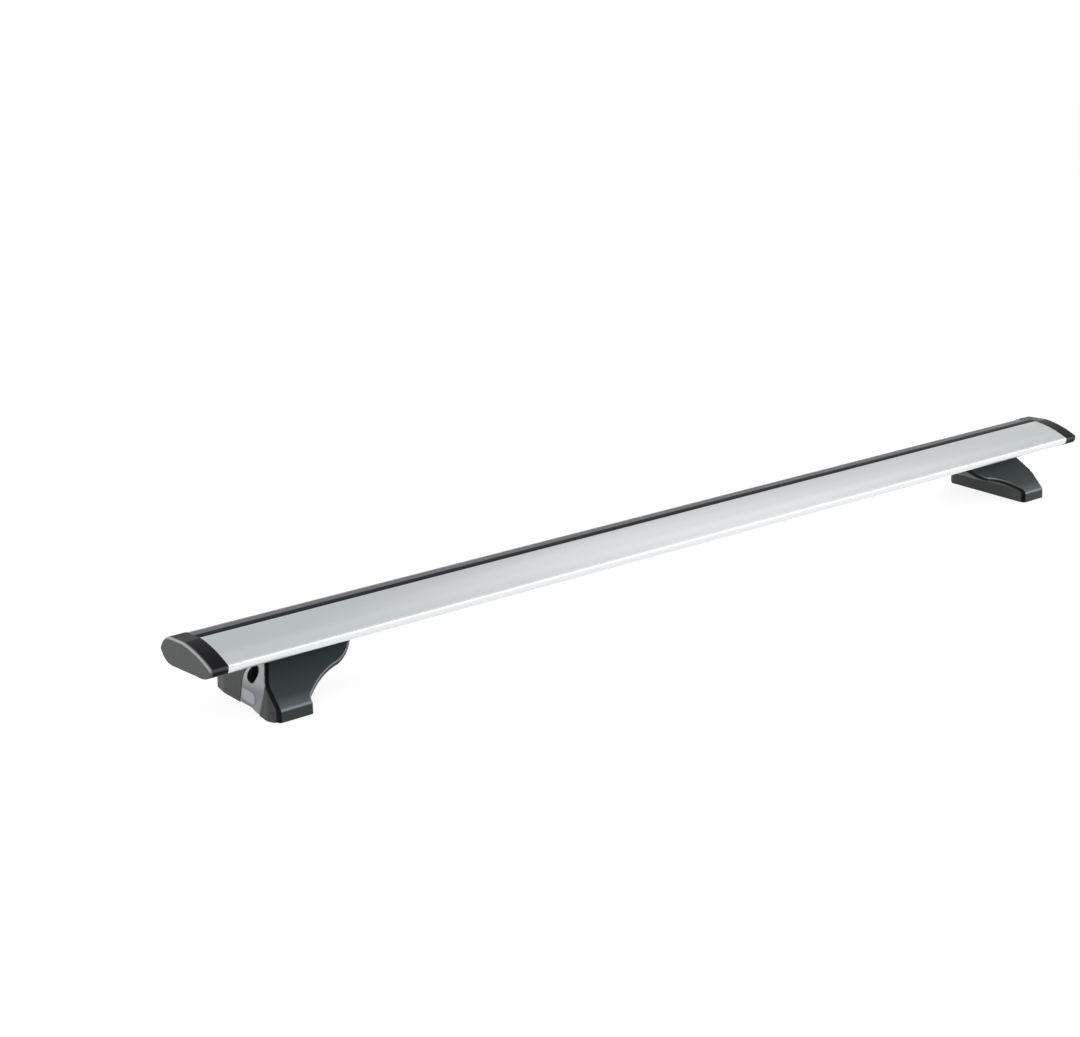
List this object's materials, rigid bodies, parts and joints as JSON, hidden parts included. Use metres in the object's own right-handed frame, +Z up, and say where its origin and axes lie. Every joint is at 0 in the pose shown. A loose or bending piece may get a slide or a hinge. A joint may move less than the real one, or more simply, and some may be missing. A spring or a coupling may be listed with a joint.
{
  "type": "roof rack crossbar",
  "caption": "Aero roof rack crossbar: a hollow wing-section bar with a rubber strip, end caps and lockable feet with removable covers.",
  "frame": {"origin": "on the ground plane under the middle of the bar, midway between the feet and midway between the front and rear edges of the feet", "axes": "+X along the bar, +Z up; the thin leading edge of the bar and the covers face -Y"},
  "size_m": [1.176, 0.1159, 0.0758],
  "materials": {
    "bar": "silver anodised, satin",
    "strip": "matte, finely ribbed",
    "collar": "smooth matte",
    "end_face": "smooth matte",
    "housing": "smooth matte",
    "lock_panel": "smooth matte",
    "cover": "smooth matte",
    "bracket": "as cast",
    "pad": "matte",
    "hardware": "zinc plated",
    "lock": "satin nickel"
  },
  "bodies": {
    "bar": {"bar_profile": "bar", "top_strip": "strip", "left_cap_collar": "collar", "left_cap_face": "end_face", "right_cap_collar": "collar", "right_cap_face": "end_face"},
    "left_foot": {"left_foot_housing": "housing", "left_lock_panel": "lock_panel", "left_foot_bracket": "bracket", "left_base_pad": "pad", "left_clamp_bolts": "hardware", "left_clamp_washers": "hardware", "left_clamp_nuts": "hardware"},
    "left_cover": {"left_front_cover": "cover"},
    "left_lock": {"left_lock_barrel": "lock", "left_lock_cam": "hardware", "left_lock_screw": "hardware"},
    "right_foot": {"right_foot_housing": "housing", "right_lock_panel": "lock_panel", "right_foot_bracket": "bracket", "right_base_pad": "pad", "right_clamp_bolts": "hardware", "right_clamp_washers": "hardware", "right_clamp_nuts": "hardware"},
    "right_cover": {"right_front_cover": "cover"},
    "right_lock": {"right_lock_barrel": "lock", "right_lock_cam": "hardware", "right_lock_screw": "hardware"}
  },
  "joints": [
    {"name": "left_foot_slide", "type": "slide", "parent": "bar", "child": "left_foot", "axis": [-1, 0, 0], "range_m": [-0.3, 0.03]},
    {"name": "left_cover_pull", "type": "slide", "parent": "left_foot", "child": "left_cover", "axis": [0, -1, 0], "range_m": [0, 0.04]},
    {"name": "left_lock_turn", "type": "hinge", "parent": "left_foot", "child": "left_lock", "pos_m": [-0.5082, -0.013, 0.032], "axis": [1, 0, 0], "range_deg": [0, 90]},
    {"name": "right_foot_slide", "type": "slide", "parent": "bar", "child": "right_foot", "axis": [1, 0, 0], "range_m": [-0.3, 0.03]},
    {"name": "right_cover_pull", "type": "slide", "parent": "right_foot", "child": "right_cover", "axis": [0, -1, 0], "range_m": [0, 0.04]},
    {"name": "right_lock_turn", "type": "hinge", "parent": "right_foot", "child": "right_lock", "pos_m": [0.5082, -0.013, 0.032], "axis": [1, 0, 0], "range_deg": [0, 90]}
  ]
}
